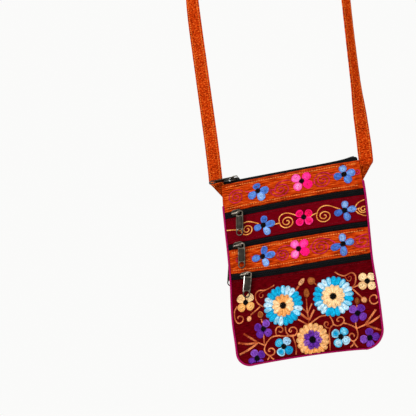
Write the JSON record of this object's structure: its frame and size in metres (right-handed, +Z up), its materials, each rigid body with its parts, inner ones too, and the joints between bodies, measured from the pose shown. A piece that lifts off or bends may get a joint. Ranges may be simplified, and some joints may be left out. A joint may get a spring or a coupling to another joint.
{
  "type": "embroidered crossbody bag",
  "caption": "Flat woven crossbody pouch with zipped front pockets, folk flower embroidery, bound edges and a long cloth shoulder strap.",
  "frame": {"origin": "underside of the strap at its highest point, where it rests on a shoulder", "axes": "+Z up along the hanging bag, +X to the right as seen from the embroidered front, which faces -Y"},
  "size_m": [0.2285, 0.0249, 0.78],
  "materials": {
    "orange_cloth": "flecked orange hand-woven cotton",
    "maroon_cloth": "plain maroon wool cloth",
    "magenta_binding": "magenta woven binding",
    "zip_tape": "black woven zip tape with nylon coil",
    "gunmetal": "black nickel plated zinc",
    "embroidery_floss": "coloured satin-stitched cotton floss"
  },
  "bodies": {
    "bag": {"strap": "orange_cloth", "top_band": "orange_cloth", "middle_band": "maroon_cloth", "lower_band": "orange_cloth", "front_panel": "maroon_cloth", "back_upper_panel": "maroon_cloth", "back_lower_panel": "maroon_cloth", "edge_binding": "magenta_binding", "top_zip": "zip_tape", "upper_zip": "zip_tape", "middle_zip": "zip_tape", "lower_zip": "zip_tape", "back_zip": "zip_tape", "top_slider": "gunmetal", "upper_slider": "gunmetal", "middle_slider": "gunmetal", "lower_slider": "gunmetal", "back_slider": "gunmetal"},
    "top_tab": {"top_pull": "gunmetal"},
    "upper_tab": {"upper_pull": "gunmetal"},
    "middle_tab": {"middle_pull": "gunmetal"},
    "lower_tab": {"lower_pull": "gunmetal"},
    "back_tab": {"back_pull": "gunmetal"}
  },
  "joints": [
    {"name": "top_tab_lift", "type": "hinge", "parent": "bag", "child": "top_tab", "pos_m": [-0.0754, 0, -0.52882], "axis": [-0.342, 0.9397, 0], "range_deg": [0, 130]},
    {"name": "upper_tab_swing", "type": "hinge", "parent": "bag", "child": "upper_tab", "pos_m": [-0.06852, -0.00993, -0.58028], "axis": [0.1208, 0.9927, 0], "range_deg": [-125, 42]},
    {"name": "middle_tab_swing", "type": "hinge", "parent": "bag", "child": "middle_tab", "pos_m": [-0.07013, -0.01009, -0.62331], "axis": [0.1525, 0.9883, 0], "range_deg": [-125, 42]},
    {"name": "lower_tab_swing", "type": "hinge", "parent": "bag", "child": "lower_tab", "pos_m": [-0.06415, -0.01098, -0.6624], "axis": [0.141, 0.99, 0], "range_deg": [-125, 38]},
    {"name": "back_tab_swing", "type": "hinge", "parent": "bag", "child": "back_tab", "pos_m": [-0.08939, 0.00663, -0.63956], "axis": [0.1118, -0.9937, 0], "range_deg": [-120, 48]}
  ]
}
